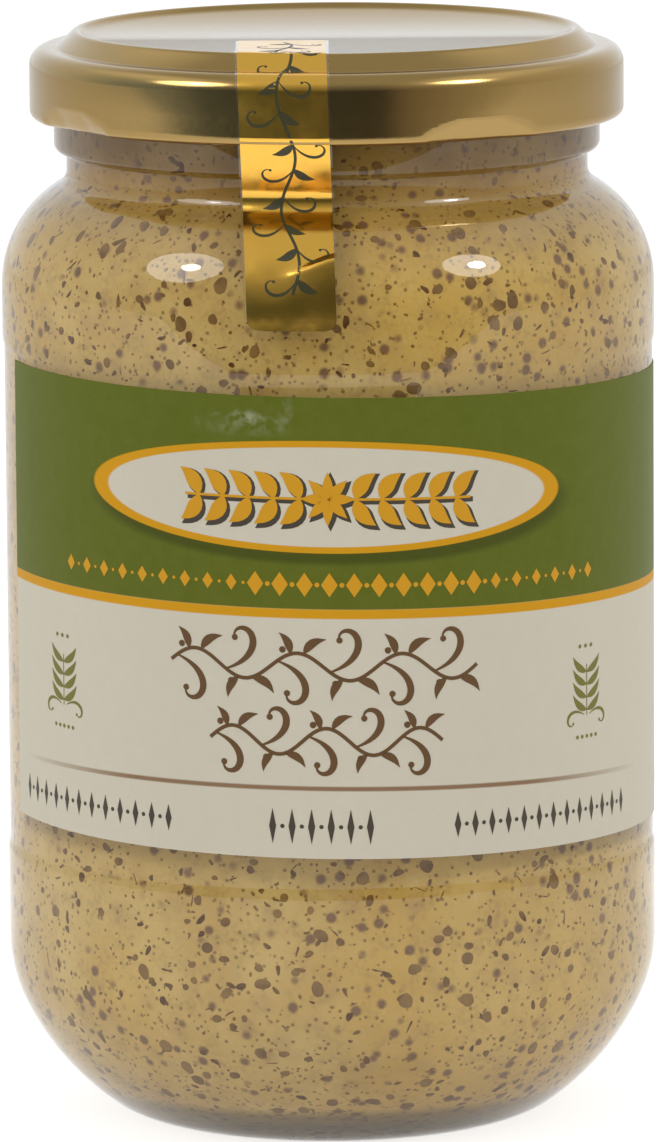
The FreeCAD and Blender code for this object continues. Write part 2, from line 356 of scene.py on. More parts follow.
def soft_spots(nodes, links, vector, scale, size, seed_shift):
    """A mask of blurred round spots, each a different size."""
    moved = nodes.new("ShaderNodeMapping")
    moved.inputs["Location"].default_value = (seed_shift, seed_shift, 0)
    links.new(vector, moved.inputs["Vector"])
    cells = nodes.new("ShaderNodeTexVoronoi")
    cells.inputs["Scale"].default_value = scale
    links.new(moved.outputs[0], cells.inputs["Vector"])
    return spread(nodes, links, cells.outputs["Distance"], size, 0.0)


def mustard_material():
    """Pale paste in clouds of tone, with soft stains round the seeds, browner patches in the neck and
    a painted shade along its sole.
    """
    material, nodes, links = new_material("mustard_paste")
    place = nodes.new("ShaderNodeTexCoord").outputs["Object"]
    body = nodes.new("ShaderNodeBsdfPrincipled")
    output = nodes.new("ShaderNodeOutputMaterial")
    clouds = nodes.new("ShaderNodeTexNoise")
    clouds.inputs["Scale"].default_value = 90.0
    clouds.inputs["Detail"].default_value = 3.0
    links.new(place, clouds.inputs["Vector"])
    wide = nodes.new("ShaderNodeTexNoise")
    wide.inputs["Scale"].default_value = 34.0
    wide.inputs["Detail"].default_value = 1.0
    links.new(place, wide.inputs["Vector"])
    grain = grain_node(nodes, links, place, 1700.0, 0.45)
    tone = tinted(nodes, links, spread(nodes, links, clouds.outputs["Fac"], 0.35, 0.68),
                  paste_light, paste_deep)
    ochre = spread(nodes, links, wide.outputs["Fac"], 0.52, 0.72, 0.0, 0.6)
    tone = tinted(nodes, links, ochre, tone, paste_ochre)
    coarse = spread(nodes, links, grain, 0.5, 0.78, 0.0, 0.55)
    tone = tinted(nodes, links, coarse, tone, grain_dark)
    fine = spread(nodes, links, grain, 0.42, 0.25, 0.0, 0.4)
    tone = tinted(nodes, links, fine, tone, grain_pale)
    heights = nodes.new("ShaderNodeSeparateXYZ")
    links.new(place, heights.inputs[0])
    # The paste turns browner in patches towards the neck.
    neck_tone = spread(nodes, links, heights.outputs["Z"], neck_tone_from, neck_tone_to)
    patches = spread(nodes, links, clouds.outputs["Fac"], 0.62, 0.4, 0.55, 0.95)
    tone = tinted(nodes, links, calc(nodes, links, "MULTIPLY", neck_tone, patches), tone, paste_neck_tone)
    # Painted shade: the paste darkens along its sole, at the bottom of the jar.
    sole_shade_mask = spread(nodes, links, heights.outputs["Z"], sole_shade_from, sole_shade_to, 0.0, 0.7)
    tone = tinted(nodes, links, sole_shade_mask, tone, painted_sole_shade)
    gathered = spread(nodes, links, clouds.outputs["Fac"], 0.42, 0.52)
    halo = soft_spots(nodes, links, place, 420.0, 0.31, 0.0)
    halo = calc(nodes, links, "MULTIPLY", calc(nodes, links, "MULTIPLY", halo, gathered), 2.1)
    tone = tinted(nodes, links, calc(nodes, links, "MINIMUM", halo, 0.88), tone, husk_purple)
    stains = soft_spots(nodes, links, place, 230.0, 0.4, 0.7)
    tone = tinted(nodes, links, calc(nodes, links, "MULTIPLY", stains, 0.35), tone, seed_stain)
    flecks = soft_spots(nodes, links, place, 1000.0, 0.32, 0.3)
    tone = tinted(nodes, links, spread(nodes, links, flecks, 0.2, 0.5, 0.0, 0.7), tone, speck_brown)
    links.new(tone, body.inputs["Base Color"])
    body.inputs["Roughness"].default_value = 0.7
    body.inputs["Specular IOR Level"].default_value = 0.0
    bump = nodes.new("ShaderNodeBump")
    bump.inputs["Strength"].default_value = 0.25
    bump.inputs["Distance"].default_value = 0.0002
    links.new(grain, bump.inputs["Height"])
    links.new(bump.outputs[0], body.inputs["Normal"])
    links.new(body.outputs[0], output.inputs["Surface"])
    return material


mustard_skin = inner_side(wetting, fill_z - top_round)
paste_r = neck_r - wall + wetting
paste_top = arc(paste_r - top_round, fill_z - top_round, top_round, 0, 90, 4)
bm = bmesh.new()
spun(bm, mustard_skin + paste_top + [(0, fill_z - top_dish)], paste_turns)
settled("mustard_paste", bm, mustard_material(), "mustard_paste", "mustard")


# ------------------------------------------------- Bubbles, husks and specks
# Air pockets, bran husks and broken seed show where they press against the
# glass. Each kind is one piece of flat pebbles that sit in the paste's skin.

pebble_thick = 0.07
bare_r = 12
batch_size = 60


def wall_places(seed, count, apart):
    """Random places on the mustard's skin: a point in millimetres and a turned frame."""
    dice = random.Random(seed)
    stretches, weights = [], []
    for start, end in zip(mustard_skin, mustard_skin[1:]):
        if start[0] > bare_r or end[0] > bare_r:
            stretches.append((start, end))
            weights.append(math.dist(start, end) * (start[0] + end[0]))
    kept = []
    for start, end in dice.choices(stretches, weights, k=count):
        share, turn = dice.random(), dice.uniform(0, WHOLE_TURN)
        radius = start[0] + (end[0] - start[0]) * share
        height = start[1] + (end[1] - start[1]) * share
        around = Matrix.Rotation(turn, 3, "Z")
        point = around @ Vector((radius, 0, height))
        if not apart or all((point - other[0]).length > apart for other in kept):
            rise = math.atan2(end[1] - start[1], end[0] - start[0])
            outward = around @ Vector((math.sin(rise), 0, -math.cos(rise)))
            upward = around @ Vector((math.cos(rise), 0, math.sin(rise)))
            kept.append((point, outward, upward))
    return kept


def pebble(bm, place, width, stretch, lumps, sides, dice):
    """A flat pebble of uneven outline, half sunk in the skin."""
    point, outward, upward = place
    lean = dice.uniform(0, WHOLE_TURN)
    across_way = outward.cross(upward)
    first = upward * math.cos(lean) + across_way * math.sin(lean)
    second = outward.cross(first)
    turned = Matrix((first, second, outward)).transposed().to_4x4()
    phases = [dice.uniform(0, WHOLE_TURN) for _ in range(3)]
    made = bmesh.ops.create_cone(bm, cap_ends=True, cap_tris=False, segments=sides,
                                 radius1=1.0, radius2=0.78, depth=1.0)
    for vert in made["verts"]:
        angle = math.atan2(vert.co.y, vert.co.x)
        bulge = 1.0
        for order, phase in zip((2, 3, 5), phases):
            bulge += lumps / order * math.cos(order * angle + phase)
        vert.co.x *= bulge * width / 2 * stretch
        vert.co.y *= bulge * width / 2 / stretch
        vert.co.z *= pebble_thick
        vert.co = (turned @ vert.co + point) * MM


def spot_material(name, dark, pale, roughness):
    """Each pebble's own tone, from noise slower than a pebble, with a soft grain; on air pockets and
    cracks this tone is painted shade.
    """
    material, nodes, links = new_material(name)
    place = nodes.new("ShaderNodeTexCoord").outputs["Object"]
    body = nodes.new("ShaderNodeBsdfPrincipled")
    output = nodes.new("ShaderNodeOutputMaterial")
    slow = nodes.new("ShaderNodeTexNoise")
    slow.inputs["Scale"].default_value = 420.0
    slow.inputs["Detail"].default_value = 2.0
    links.new(place, slow.inputs["Vector"])
    tone = tinted(nodes, links, spread(nodes, links, slow.outputs["Fac"], 0.36, 0.62), dark, pale)
    links.new(tone, body.inputs["Base Color"])
    body.inputs["Roughness"].default_value = roughness
    body.inputs["Specular IOR Level"].default_value = 0.0
    links.new(body.outputs[0], output.inputs["Surface"])
    return material


def scattered(name, material, seed, count, apart, sizes, stretches, lumps, sides):
    """One piece of many pebbles of a kind, made a batch at a time, which is quicker."""
    dice = random.Random(seed + 1)
    places = wall_places(seed, count, apart)
    whole = bmesh.new()
    for start in range(0, len(places), batch_size):
        batch = bmesh.new()
        for place in places[start:start + batch_size]:
            any_size = dice.random() < 0.7
            width = dice.uniform(sizes[0], sizes[1] if any_size else sum(sizes) / 2)
            longer = dice.uniform(*stretches)
            pebble(batch, place, width, longer, lumps * dice.random(), sides, dice)
        store = bpy.data.meshes.new("batch")
        batch.to_mesh(store)
        batch.free()
        whole.from_mesh(store)
        bpy.data.meshes.remove(store)
    piece = settled(name, whole, material, "mustard_paste")
    piece.data.shade_flat()
    return piece


# Air pockets are drawn as brown pebbles: the brown is painted shade in the hollow.
bubble_shade = spot_material("bubble_shade", colour(116, 84, 42), colour(142, 108, 56), 0.5)
husk_tone_and_crack_shade = spot_material("husk_tone_and_crack_shade", colour(92, 58, 22), colour(132, 98, 46), 0.6)
speck_tan = spot_material("speck_tan", colour(114, 80, 34), colour(156, 120, 58), 0.6)
scattered("bubbles", bubble_shade, seed=11, count=1150, apart=1.3, sizes=(0.8, 1.8),
          stretches=(1.0, 1.2), lumps=0.22, sides=16)
scattered("husks", husk_tone_and_crack_shade, seed=23, count=1500, apart=0.9, sizes=(0.5, 1.15),
          stretches=(1.0, 1.5), lumps=0.55, sides=10)
scattered("specks", speck_tan, seed=37, count=7000, apart=0, sizes=(0.18, 0.55),
          stretches=(1.0, 1.4), lumps=0.4, sides=6)
# The cracks use the husks' brown as painted shade in the gaps.
scattered("cracks", husk_tone_and_crack_shade, seed=53, count=620, apart=0, sizes=(0.34, 0.66),
          stretches=(1.9, 2.9), lumps=0.8, sides=12)


# ---------------------------------------------------------------------- Lid
# A twist-off lid pressed from gold-lacquered tinplate. The raised bead holds
# the sealing ring, and the rolled lower edge is pressed in at four lugs.

lid_low, lid_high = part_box("lid")
lid_r = lid_high.x / MM
lid_z = lid_low.z / MM
top_z = lid_high.z / MM
sheet = 0.25
curl_r = 0.9
lug_angles = [31.0 + 90.0 * index for index in range(4)]
plate_z = top_z - 0.7
lid_turns = 360
bead_round = 0.8
ring_round = 0.4
ring_sink = 1.9
skirt_round = 2.0

# A lug's press: half its width in degrees where it is full and where it ends, and
# how high it reaches there.
press_half = (4.6, 12.5)
press_height = (2.6, 1.0)
press_slope = 0.5
press_floor = 0.6

gold_base = (0.37, 0.247, 0.09, 1.0)
gold_worn = colour(150, 124, 84)


def lid_top():
    """The lid's outside, from its middle out over the bead and down to the curl."""
    ring_z = top_z - ring_sink
    bead_r = finish_r - 2.7
    points = [(0, plate_z), (bead_r - 1.5, plate_z)]
    points += arc(bead_r, top_z - bead_round, bead_round, 145, 38, 8)
    points += arc(finish_r - 0.2, ring_z + ring_round, ring_round, -130, -90, 4)
    points += arc(lid_r - skirt_round, ring_z - skirt_round, skirt_round, 88, 0, 10)
    return points


def thinner(points, amount):
    """An outline moved inwards by amount, square to itself."""
    moved = []
    for index, (r, z) in enumerate(points):
        before, after = points[max(index - 1, 0)], points[min(index + 1, len(points) - 1)]
        run, rise = after[0] - before[0], after[1] - before[1]
        size = math.hypot(run, rise)
        moved.append((max(r + rise / size * amount, 0), z - run / size * amount))
    return moved


bm = bmesh.new()
outside = lid_top() + [(lid_r, lid_z + rise) for rise in (3.2, 2.8, 2.6, 2.4, 2.0, 1.6, 1.2)]
inside = thinner(lid_top(), sheet) + [(lid_r - sheet, lid_z + 2 * curl_r + 0.2)]
rolled_edge = arc(lid_r - curl_r, lid_z + curl_r, curl_r, 0, -280, 16)
spun(bm, outside + rolled_edge + inside[::-1], lid_turns)
for vert in bm.verts:
    lift = vert.co.z / MM - lid_z
    angle = math.degrees(math.atan2(vert.co.x, -vert.co.y))
    for centre in lug_angles:
        off = abs((angle - centre + 180) % 360 - 180)
        share = min(1.0, max(0.0, (press_half[1] - off) / (press_half[1] - press_half[0])))
        reach_up = press_height[1] + (press_height[0] - press_height[1]) * share
        if off < press_half[1] and lift < reach_up:
            deep = press_slope * (reach_up - max(lift, press_floor)) * min(1.0, 4 * share)
            radius = math.hypot(vert.co.x, vert.co.y)
            vert.co.x *= 1 - deep * MM / radius
            vert.co.y *= 1 - deep * MM / radius


def lacquer_material():
    """Clear gold lacquer on bright tinplate, with a faint grain."""
    material, nodes, links = new_material("gold_lacquer")
    place = nodes.new("ShaderNodeTexCoord").outputs["Object"]
    body = nodes.new("ShaderNodeBsdfPrincipled")
    output = nodes.new("ShaderNodeOutputMaterial")
    grain = grain_node(nodes, links, place, 2600.0, 0.3)
    worn = spread(nodes, links, grain, 0.3, 0.7, 0.0, 0.12)
    tone = tinted(nodes, links, worn, gold_base, gold_worn)
    links.new(tone, body.inputs["Base Color"])
    body.inputs["Metallic"].default_value = 1.0
    links.new(spread(nodes, links, grain, 0.3, 0.7, 0.13, 0.18), body.inputs["Roughness"])
    bump = nodes.new("ShaderNodeBump")
    bump.inputs["Strength"].default_value = 0.04
    bump.inputs["Distance"].default_value = 0.00005
    links.new(grain, bump.inputs["Height"])
    links.new(bump.outputs[0], body.inputs["Normal"])
    links.new(body.outputs[0], output.inputs["Surface"])
    return material


settled("lid_sheet", bm, lacquer_material(), "gold_lacquer", "lid")


# -------------------------------------------------------------------- Label
# One paper sheet glued round the jar's panel, a little out of level, with its
# ends short of each other at the back. Its bands of colour are part of it.

label_r = 37.02
print_r = 37.0
label_start = -73.0
label_sweep = 328.0
label_steps = 328
seam_half = 16
label_drop = 0.01903
label_tall = 51.7
label_mid = label_low.z / MM + label_drop * math.radians(label_start + label_sweep) * print_r
paper_thick = 0.1
map_along, map_up, map_left = 220.0, 60.0, 48.0

# The bands and ovals, in millimetres along from the front's middle and up.
green_from, green_full = 27.95, 28.1
gold_line = (27.0, 28.05)
oval_middle, oval_half, oval_inner = (-0.5, 40.6), (28.6, 6.28), (26.4, 5.56)
shade_middle, shade_half = (0.1, 39.6), (29.0, 6.5)
thin_line, thin_line_bow, thin_line_half = (7.65, 8.15), -0.0004, 34.0

paper_green = colour(98, 107, 27)
paper_cream = colour(222, 214, 194)
green_screen = colour(128, 132, 62)
cream_screen = colour(196, 188, 168)
print_gold = colour(222, 160, 26)
oval_shade = colour(58, 62, 18)
line_brown = colour(150, 120, 92)
bare_paper = colour(190, 190, 160)


def label_place(vert_co):
    """Where a point of the label lies on it: along from the front's middle and up, in mm."""
    angle = math.atan2(vert_co.x, -vert_co.y)
    if angle < math.radians(label_start - seam_half):
        angle += WHOLE_TURN
    along = angle * print_r
    return along, vert_co.z / MM - label_mid + label_drop * along


def between(nodes, links, value, low, high, soft):
    """A mask that is 1 where a value lies between two limits."""
    up = spread(nodes, links, value, low - soft, low + soft)
    down = spread(nodes, links, value, high + soft, high - soft)
    return calc(nodes, links, "MULTIPLY", up, down)


def oval(nodes, links, along, up, middle, half, soft):
    """A mask that is 1 inside an upright or lying ellipse."""
    across = calc(nodes, links, "DIVIDE", calc(nodes, links, "SUBTRACT", along, middle[0]), half[0])
    rise = calc(nodes, links, "DIVIDE", calc(nodes, links, "SUBTRACT", up, middle[1]), half[1])
    across = calc(nodes, links, "MULTIPLY", across, across)
    rise = calc(nodes, links, "MULTIPLY", rise, rise)
    return spread(nodes, links, calc(nodes, links, "ADD", across, rise), 1 + soft, 1 - soft)


def label_material():
    """Coated paper in green and cream bands, with a gold line, an oval and a rubbed patch."""
    material, nodes, links = new_material("label_paper")
    place = nodes.new("ShaderNodeUVMap")
    place.uv_map = "print"
    parts = nodes.new("ShaderNodeSeparateXYZ")
    links.new(place.outputs[0], parts.inputs[0])
    along = calc(nodes, links, "MULTIPLY", parts.outputs["X"], map_along)
    along = calc(nodes, links, "SUBTRACT", along, map_left)
    up = calc(nodes, links, "MULTIPLY", parts.outputs["Y"], map_up)
    solid = nodes.new("ShaderNodeTexCoord").outputs["Object"]
    grain = grain_node(nodes, links, solid, 2400.0, 0.5)
    screen = spread(nodes, links, grain, 0.35, 0.65, 0.0, 0.16)
    green = tinted(nodes, links, screen, paper_green, green_screen)
    screen = spread(nodes, links, grain, 0.35, 0.65, 0.0, 0.1)
    cream = tinted(nodes, links, screen, paper_cream, cream_screen)
    tone = tinted(nodes, links, spread(nodes, links, up, green_from, green_full), cream, green)
    tone = tinted(nodes, links, between(nodes, links, up, *gold_line, 0.06), tone, print_gold)
    shade = oval(nodes, links, along, up, shade_middle, shade_half, 0.09)
    tone = tinted(nodes, links, calc(nodes, links, "MULTIPLY", shade, 0.6), tone, oval_shade)
    ring = oval(nodes, links, along, up, oval_middle, oval_half, 0.012)
    tone = tinted(nodes, links, ring, tone, print_gold)
    inner = oval(nodes, links, along, up, oval_middle, oval_inner, 0.014)
    tone = tinted(nodes, links, inner, tone, cream)
    bow = calc(nodes, links, "MULTIPLY", along, along)
    bow = calc(nodes, links, "MULTIPLY", bow, thin_line_bow)
    line = calc(nodes, links, "SUBTRACT", up, bow)
    line = between(nodes, links, line, *thin_line, 0.08)
    faded = between(nodes, links, along, -thin_line_half, thin_line_half, 10.0)
    tone = tinted(nodes, links, calc(nodes, links, "MULTIPLY", line, faded), tone, line_brown)
    wear = nodes.new("ShaderNodeTexNoise")
    wear.inputs["Scale"].default_value = 900.0
    wear.inputs["Detail"].default_value = 4.0
    links.new(solid, wear.inputs["Vector"])
    edge = nodes.new("ShaderNodeTexNoise")
    edge.inputs["Scale"].default_value = 140.0
    edge.inputs["Detail"].default_value = 3.0
    links.new(solid, edge.inputs["Vector"])
    rubbed = spread(nodes, links, edge.outputs["Fac"], 0.5, 0.62)
    patch = between(nodes, links, along, -14.5, -5.0, 1.2)
    rubbed = calc(nodes, links, "MULTIPLY", rubbed, patch)
    rubbed = calc(nodes, links, "MULTIPLY", rubbed, spread(nodes, links, up, 47.0, 49.5))
    flecks = spread(nodes, links, wear.outputs["Fac"], 0.4, 0.6)
    rubbed = calc(nodes, links, "MULTIPLY", rubbed, flecks)
    tone = tinted(nodes, links, calc(nodes, links, "MULTIPLY", rubbed, 0.8), tone, bare_paper)
    body = nodes.new("ShaderNodeBsdfPrincipled")
    output = nodes.new("ShaderNodeOutputMaterial")
    links.new(tone, body.inputs["Base Color"])
    body.inputs["Roughness"].default_value = 0.5
    body.inputs["Specular IOR Level"].default_value = 0.15
    bump = nodes.new("ShaderNodeBump")
    bump.inputs["Strength"].default_value = 0.1
    bump.inputs["Distance"].default_value = 0.00005
    links.new(grain, bump.inputs["Height"])
    links.new(bump.outputs[0], body.inputs["Normal"])
    links.new(body.outputs[0], output.inputs["Surface"])
    return material


def faced_outward(bm):
    """Turns each face of a sheet round the jar so that it looks away from the axis."""
    for face in bm.faces:
        face.normal_update()
        middle = face.calc_center_median()
        if face.normal.x * middle.x + face.normal.y * middle.y < 0:
            face.normal_flip()


def crisp_rims(bm):
    """Keeps a thin sheet's rims sharp when the rest is shaded smooth."""
    for edge in bm.edges:
        if len(edge.link_faces) == 2 and edge.calc_face_angle(0) > 1.0:
            edge.smooth = False


bm = bmesh.new()
first = math.radians(label_start)
start_x, start_y = label_r * MM * math.sin(first), -label_r * MM * math.cos(first)
start_z = label_mid - label_drop * first * print_r
ends = [bm.verts.new((start_x, start_y, (start_z + up) * MM)) for up in (0, label_tall)]
edge = bm.edges.new(ends)
drop = -label_drop * math.radians(label_sweep) * print_r / label_steps
bmesh.ops.spin(bm, geom=ends + [edge], cent=(0, 0, 0), axis=(0, 0, 1), dvec=(0, 0, drop * MM),
               angle=math.radians(label_sweep), steps=label_steps)
faced_outward(bm)
bmesh.ops.solidify(bm, geom=bm.faces[:], thickness=paper_thick * MM)
bmesh.ops.recalc_face_normals(bm, faces=bm.faces)
layer = bm.loops.layers.uv.new("print")
for face in bm.faces:
    for loop in face.loops:
        along, up = label_place(loop.vert.co)
        loop[layer].uv = ((along + map_left) / map_along, up / map_up)
crisp_rims(bm)
settled("label_paper", bm, label_material(), "label_paper", "label")


# ------------------------------------------------------- Print on the label
# Leafy ornaments printed in five inks: each ink is one piece of thin flat
# shapes, drawn on the flat label and then bent round the jar with it.

print_dark = colour(74, 66, 54)
print_brown = colour(106, 76, 44)
print_olive = colour(124, 118, 48)
shadow_lift, ink_lift = 0.012, 0.022


def label_wrap(bm, lift):
    """Bends flat shapes, in millimetres, round the jar on to the label."""
    low = min(vert.co.x for vert in bm.verts)
    high = max(vert.co.x for vert in bm.verts)
    for step in range(math.ceil(low), math.floor(high) + 1):
        bmesh.ops.bisect_plane(bm, geom=bm.verts[:] + bm.edges[:] + bm.faces[:], dist=1e-5,
                               plane_co=(step, 0, 0), plane_no=(1, 0, 0))
    for vert in bm.verts:
        along, up = vert.co.x, vert.co.y
        angle = along / print_r
        radius = (label_r + lift) * MM
        height = (label_mid - label_drop * along + up) * MM
        vert.co = (radius * math.sin(angle), -radius * math.cos(angle), height)


def stroke(bm, points, widths):
    """A flat ribbon along a path: an edge drawn out from point to point."""
    part = bmesh.new()
    ends = [part.verts.new((0, 0, 0)), part.verts.new((0, 0, 0))]
    edge = part.edges.new(ends)
    sides = ends
    for index, (x, y) in enumerate(points):
        before, after = points[max(index - 1, 0)], points[min(index + 1, len(points) - 1)]
        run, rise = after[0] - before[0], after[1] - before[1]
        size = math.hypot(run, rise)
        half = widths[index] / 2
        if index:
            made = bmesh.ops.extrude_edge_only(part, edges=[edge])["geom"]
            edge = [item for item in made if isinstance(item, bmesh.types.BMEdge)][0]
            sides = [made_vert for side in sides for made_vert in edge.verts
                     if any(made_vert in link.verts for link in side.link_edges)]
        sides[0].co = (x - rise / size * half, y + run / size * half, 0)
        sides[1].co = (x + rise / size * half, y - run / size * half, 0)
    store = bpy.data.meshes.new("stroke")
    part.to_mesh(store)
    part.free()
    bm.from_mesh(store)
    bpy.data.meshes.remove(store)


def leaf(bm, x, y, length, width, lean, bend=0.15):
    """A leaf from its stalk end, leaning by degrees from along the label."""
    way = math.radians(lean)
    points, widths = [], []
    for step in range(9):
        share = step / 8
        run, side = length * share, bend * length * math.sin(math.pi * share)
        points.append((x + run * math.cos(way) - side * math.sin(way),
                       y + run * math.sin(way) + side * math.cos(way)))
        widths.append(max(0.04, width * math.sin(math.pi * share ** 0.8)))
    stroke(bm, points, widths)


def curl(bm, x, y, size, start, turn, width):
    """A scroll that leaves a point and winds in on itself."""
    points, widths = [], []
    way = math.radians(start)
    for step in range(26):
        share = step / 25
        points.append((x, y))
        widths.append(width * (0.35 + 0.9 * math.sin(math.pi * share) ** 1.4))
        way += turn * (0.045 + 0.33 * share ** 1.5)
        x += size * 0.085 * (1 - 0.35 * share) * math.cos(way)
        y += size * 0.085 * (1 - 0.35 * share) * math.sin(way)
    stroke(bm, points, widths)
    bead(bm, x, y, width * 1.15)


def bead(bm, x, y, across, sides=10, tall=1.0):
    """A round spot, or a lozenge if it has four sides."""
    made = bmesh.ops.create_circle(bm, cap_ends=True, segments=sides, radius=across / 2)
    bmesh.ops.scale(bm, verts=made["verts"], vec=(1, tall, 1))
    bmesh.ops.translate(bm, verts=made["verts"], vec=(x, y, 0))


def sprig(bm, x, y, length, leaves, leaf_long, leaf_wide, lean, off=(0, 0), grow=0.0):
    """A stem with leaves in pairs, along a line that leans by degrees."""
    way = math.radians(lean)
    along = Vector((math.cos(way), math.sin(way)))
    start = Vector((x + off[0], y + off[1])) - along * length / 2
    stem = [start + along * length * step / 12 for step in range(13)]
    stroke(bm, [(point.x, point.y) for point in stem], [leaf_wide * 0.16 + grow] * 13)
    for index in range(leaves):
        point = start + along * length * (index + 0.4) / leaves
        for side in (-1, 1):
            leaf(bm, point.x, point.y, leaf_long + grow, leaf_wide + grow, lean + 52 * side,
                 0.12 * side)


def ink_material(name, tone, roughness, shine):
    """A plain printing ink."""
    material, nodes, links = new_material(name)
    body = nodes.new("ShaderNodeBsdfPrincipled")
    output = nodes.new("ShaderNodeOutputMaterial")
    body.inputs["Base Color"].default_value = tone
    body.inputs["Roughness"].default_value = roughness
    body.inputs["Specular IOR Level"].default_value = shine
    links.new(body.outputs[0], output.inputs["Surface"])
    return material


def inked(name, bm, tone, lift):
    """Lays the flat shapes of one ink on the label."""
    label_wrap(bm, lift)
    faced_outward(bm)
    settled(name, bm, ink_material(name, tone, 0.5, 0.3), "label_paper")


def scroll_row(bm, low, high, middle, waves, rise, width):
    """A running scroll: a waving stem with a curl in each bay and leaves beside it."""
    stem = []
    for step in range(24 * waves + 1):
        share = step / (24 * waves)
        stem.append((low + (high - low) * share, middle + rise * math.sin(math.pi * waves * share)))
    stroke(bm, stem, [width] * len(stem))
    bay = (high - low) / waves
    for index in range(waves):
        side = 1 if index % 2 else -1
        start = stem[24 * index + 3]
        curl(bm, start[0], start[1], bay * 0.8, 18 * side, side, width * 1.5)
        crest = stem[24 * index + 15]
        leaf(bm, crest[0], crest[1], bay * 0.52, bay * 0.17, -side * 34, 0.16)
        leaf(bm, crest[0] - bay * 0.25, crest[1], bay * 0.46, bay * 0.16, -side * 118, -0.14)
        bead(bm, start[0] + bay * 0.1, middle - side * rise * 1.25, width * 1.8)


shadow_ink, gold_ink, brown_ink = bmesh.new(), bmesh.new(), bmesh.new()
olive_ink, dark_ink = bmesh.new(), bmesh.new()

# In the oval: a branch to each side of a rosette, with a shadow under them.
branch_up = 40.4
for bm, off, grow in ((shadow_ink, (0.3, -0.28), 0.3), (gold_ink, (0, 0), 0.0)):
    sprig(bm, -9.3, branch_up, 14.4, 5, 3.7, 1.75, 180, off, grow)
    sprig(bm, 8.9, branch_up, 14.4, 5, 3.7, 1.75, 0, off, grow)
    for lean in range(0, 360, 45):
        leaf(bm, -0.2 + off[0], branch_up + off[1], 3.0 + grow, 1.15 + grow, lean, 0)

# Under the oval: a row of lozenges with dots between, bolder in the middle.
lozenges, lozenge_step, lozenge_up = 25, 2.76, 30.8
for index in range(lozenges):
    bold = 1.25 if 9 <= index <= 18 else 0.85
    bead(gold_ink, -33.2 + index * lozenge_step, lozenge_up, 1.5 * bold, 4, 1.45)
    if index < lozenges - 1:
        bead(gold_ink, -31.82 + index * lozenge_step, lozenge_up, 0.45 * bold)

# On the cream in front: two running scrolls, one over the other.
scroll_row(brown_ink, -18.4, 16.8, 21.6, 6, 1.5, 0.42)
scroll_row(brown_ink, -13.7, 12.6, 13.2, 5, 1.5, 0.42)

# At the back: a long branch on the green, and two short ones on the cream.
back_branch_up, back_twig_up = 39.5, 17.4
sprig(gold_ink, 84.0, back_branch_up, 34.0, 12, 3.7, 1.75, 180)
sprig(gold_ink, 124.0, back_branch_up, 34.0, 12, 3.7, 1.75, 0)
for lean in range(0, 360, 45):
    leaf(gold_ink, 104.0, back_branch_up, 3.0, 1.15, lean, 0)
sprig(brown_ink, 82.0, back_twig_up, 14.0, 6, 2.8, 1.1, 180)
sprig(brown_ink, 114.0, back_twig_up, 14.0, 6, 2.8, 1.1, 0)

# All round: an upright sprig on a curled foot, between two rows of dots.
for middle in (-34.9, 32.8, 66.0, 98.0, 130.0):
    for index in range(3):
        bead(olive_ink, middle - 0.2 + (index - 1) * 1.0, 22.2, 0.5, 8)
    for index in range(5):
        bead(olive_ink, middle + (index - 2) * 0.83, 11.9, 0.48, 8)
    sprig(olive_ink, middle, 17.2, 5.8, 4, 3.0, 0.85, 90)
    for side in (-1, 1):
        curl(olive_ink, middle + side * 0.5, 14.4, 2.6, 90 - 60 * side, -side, 0.3)

# Along the lower edge: rows of tall lozenges, from, to and how tall.
low_rows = [(-43.4, -19.0, 3.0), (-6.6, 4.3, 4.0), (14.4, 40.0, 3.0), (58.0, 96.0, 3.0),
            (112.0, 150.0, 3.0)]
low_row_up, low_step, low_wide = 3.6, 2.2, 0.8
for low, high, tall in low_rows:
    count = round((high - low) / low_step)
    for index in range(count + 1):
        x = low + (high - low) * index / count
        bead(dark_ink, x, low_row_up, low_wide, 4, tall / low_wide)
        if index < count:
            bead(dark_ink, x + (high - low) / count / 2, low_row_up, 0.5, 8)

inked("print_shadow", shadow_ink, print_dark, shadow_lift)
inked("print_gold", gold_ink, print_gold, ink_lift)
inked("print_brown", brown_ink, print_brown, ink_lift)
inked("print_olive", olive_ink, print_olive, ink_lift)
inked("print_dark", dark_ink, print_dark, ink_lift)


# --------------------------------------------------------------- Seal strip
# A clear tape with a gold foil face, stuck from the lid's top down its skirt,
# into the dip under it and on to the shoulder. It shows if the lid was opened.
# One soft fold crosses its right half near the lower end.

strip_wide = 10.4
strip_x = -3.95
strip_lean = math.tan(math.radians(1.9))
strip_start = 8.4
strip_end_z = 93.5
strip_corner = 1.5
foil_margin = 0.25
foil_short = 1.0
foil_corner = 1.3
film_lift, film_thick = 0.02, 0.04
foil_lift, foil_thick = 0.065, 0.03
vine_lift = 0.105
cells_across, cells_along = 12, 300
dip_r = 2.2
flat_r = 14.0

# The fold: how far it is from the end, how it slants, how high it stands off, how
# wide it is above, and how far it runs out below.
fold_up = 8.9
fold_lean = 0.35
fold_height = 1.15
fold_width = 0.6
fold_tail = 7.0

film_tint = (0.98, 0.975, 0.96, 1.0)
film_index = 1.46
foil_gold = (0.84, 0.49, 0.085, 1.0)
foil_dull = (0.76, 0.41, 0.06, 1.0)
vine_ink = colour(58, 56, 26)

dip_across = neck_r + finish_cove + dip_r - (body_r - shoulder_r)
dip_rise = math.sqrt((shoulder_r + dip_r) ** 2 - dip_across ** 2)
dip_centre = (body_r - shoulder_r + dip_across, shoulder_z + dip_rise)
skirt_end = (lid_r, lid_z + curl_r)
off_x, off_z = skirt_end[0] - dip_centre[0], skirt_end[1] - dip_centre[1]
dip_leave = math.degrees(math.atan2(off_z, off_x) + math.acos(dip_r / math.hypot(off_x, off_z)))
dip_meet = math.degrees(math.atan2(dip_rise, dip_across))

